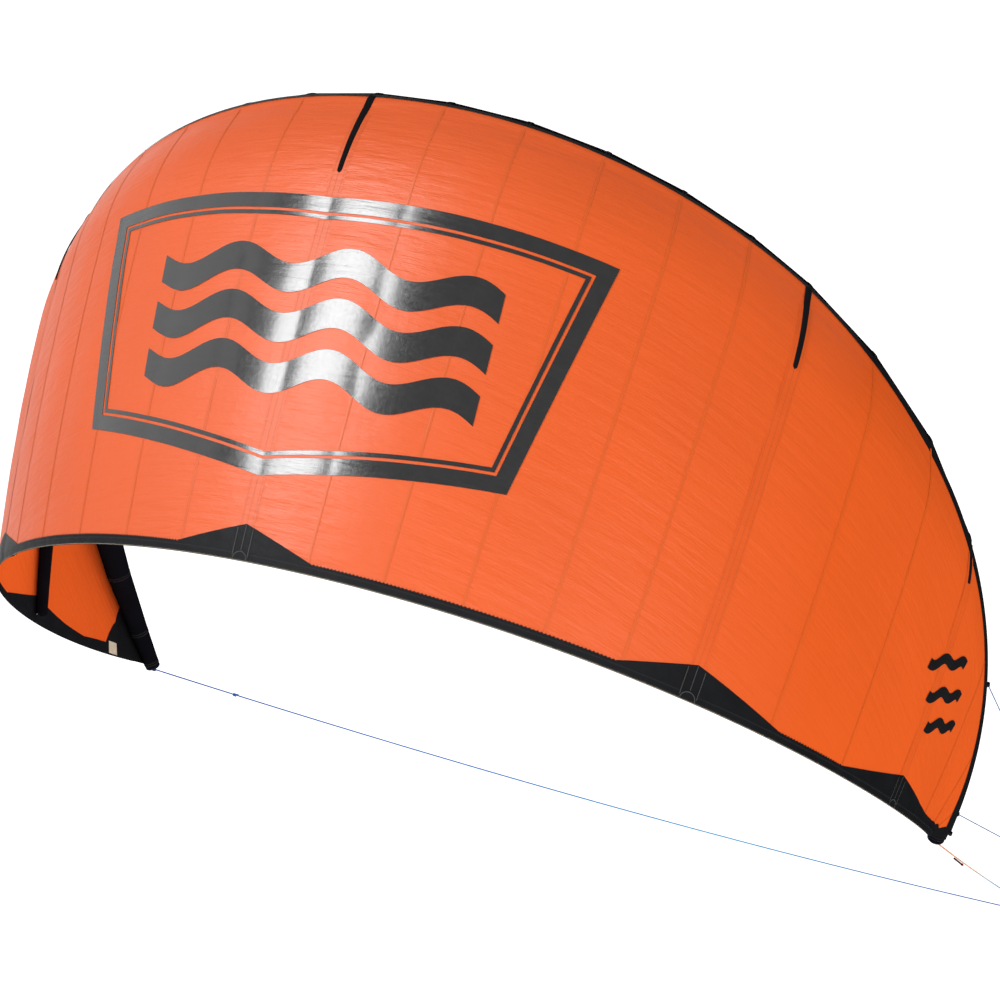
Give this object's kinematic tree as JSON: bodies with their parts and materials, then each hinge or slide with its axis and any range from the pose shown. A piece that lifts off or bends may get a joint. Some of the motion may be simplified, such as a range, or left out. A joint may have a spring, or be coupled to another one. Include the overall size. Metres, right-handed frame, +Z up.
{
  "type": "kitesurf kite",
  "caption": "Arched inflatable traction kite: tubular leading edge and struts, cloth canopy with battens and reinforced trailing edge, valves, bridle and steering lines.",
  "frame": {"origin": "centre of the leading edge tube at the centre strut", "axes": "+X along the span to the left tip, +Y from the leading edge to the trailing edge, +Z up, out of the arch"},
  "size_m": [5.2652, 1.9863, 7.0495],
  "materials": {
    "canopy_cloth": "satin ripstop polyester",
    "tube_cloth": "woven polyester sailcloth",
    "reinforcement_cloth": "stitched sailcloth",
    "batten_cloth": "smooth coated cloth",
    "bladder_film": "polyurethane film",
    "tip_cloth": "woven sailcloth",
    "webbing": "woven webbing",
    "valve_body_plastic": "moulded",
    "valve_cap_plastic": "moulded",
    "bridle_line": "braided line",
    "steering_line_blue": "braided line",
    "steering_line_orange": "braided line",
    "sleeve_cloth": "woven sleeving",
    "pulley_metal": "satin",
    "sheave_plastic": "moulded"
  },
  "bodies": {
    "kite": {"batten_sleeve_center": "batten_cloth", "batten_sleeve_inner_left": "batten_cloth", "batten_sleeve_inner_right": "batten_cloth", "batten_sleeve_outer_left": "batten_cloth", "batten_sleeve_outer_right": "batten_cloth", "bridle_bight": "bridle_line", "bridle_leg_front": "bridle_line", "bridle_leg_rear": "bridle_line", "bridle_loop_front_left": "webbing", "bridle_loop_front_right": "webbing", "bridle_loop_rear_left": "webbing", "bridle_loop_rear_right": "webbing", "canopy_center_left": "canopy_cloth", "canopy_center_right": "canopy_cloth", "canopy_mid_left": "canopy_cloth", "canopy_mid_right": "canopy_cloth", "canopy_tip_left": "canopy_cloth", "canopy_tip_right": "canopy_cloth", "deflate_valve_body": "valve_body_plastic", "inflate_valve_body": "valve_body_plastic", "leading_bladder": "bladder_film", "leading_sleeve_center_left": "tube_cloth", "leading_sleeve_center_right": "tube_cloth", "leading_sleeve_mid_left": "tube_cloth", "leading_sleeve_mid_right": "tube_cloth", "leading_sleeve_tip_left": "tube_cloth", "leading_sleeve_tip_right": "tube_cloth", "line_eye_left": "steering_line_blue", "line_eye_right": "steering_line_orange", "line_knot_left": "steering_line_blue", "line_sleeve_right": "sleeve_cloth", "pulley_housing": "pulley_metal", "steering_line_left": "steering_line_blue", "steering_line_right": "steering_line_orange", "steering_loop_left": "webbing", "steering_loop_right": "webbing", "steering_ring_left": "webbing", "steering_ring_right": "webbing", "strut_bladder_center": "bladder_film", "strut_bladder_inner_left": "bladder_film", "strut_bladder_inner_right": "bladder_film", "strut_bladder_outer_left": "bladder_film", "strut_bladder_outer_right": "bladder_film", "strut_patch_center": "reinforcement_cloth", "strut_patch_inner_left": "reinforcement_cloth", "strut_patch_inner_right": "reinforcement_cloth", "strut_patch_outer_left": "reinforcement_cloth", "strut_patch_outer_right": "reinforcement_cloth", "strut_sleeve_center": "tube_cloth", "strut_sleeve_inner_left": "tube_cloth", "strut_sleeve_inner_right": "tube_cloth", "strut_sleeve_outer_left": "tube_cloth", "strut_sleeve_outer_right": "tube_cloth", "tip_cap_left": "tip_cloth", "tip_cap_right": "tip_cloth", "trailing_hem_left": "reinforcement_cloth", "trailing_hem_right": "reinforcement_cloth"},
    "inflate_cap": {"inflate_valve_cap": "valve_cap_plastic"},
    "deflate_cap": {"deflate_valve_cap": "valve_cap_plastic"},
    "sheave": {"pulley_sheave": "sheave_plastic"}
  },
  "joints": [
    {"name": "inflate_cap_hinge", "type": "hinge", "parent": "kite", "child": "inflate_cap", "pos_m": [0.15491, -0.10813, -0.0719], "axis": [-1, 0, 0], "range_deg": [0, 115]},
    {"name": "deflate_cap_hinge", "type": "hinge", "parent": "kite", "child": "deflate_cap", "pos_m": [-0.15491, -0.11135, -0.06807], "axis": [-1, 0, 0], "range_deg": [0, 115]},
    {"name": "sheave_spin", "type": "hinge", "parent": "kite", "child": "sheave", "pos_m": [-2.81099, 1.46882, -3.98139], "axis": [-0.6626, 0.6612, 0.3517], "continuous": true}
  ]
}
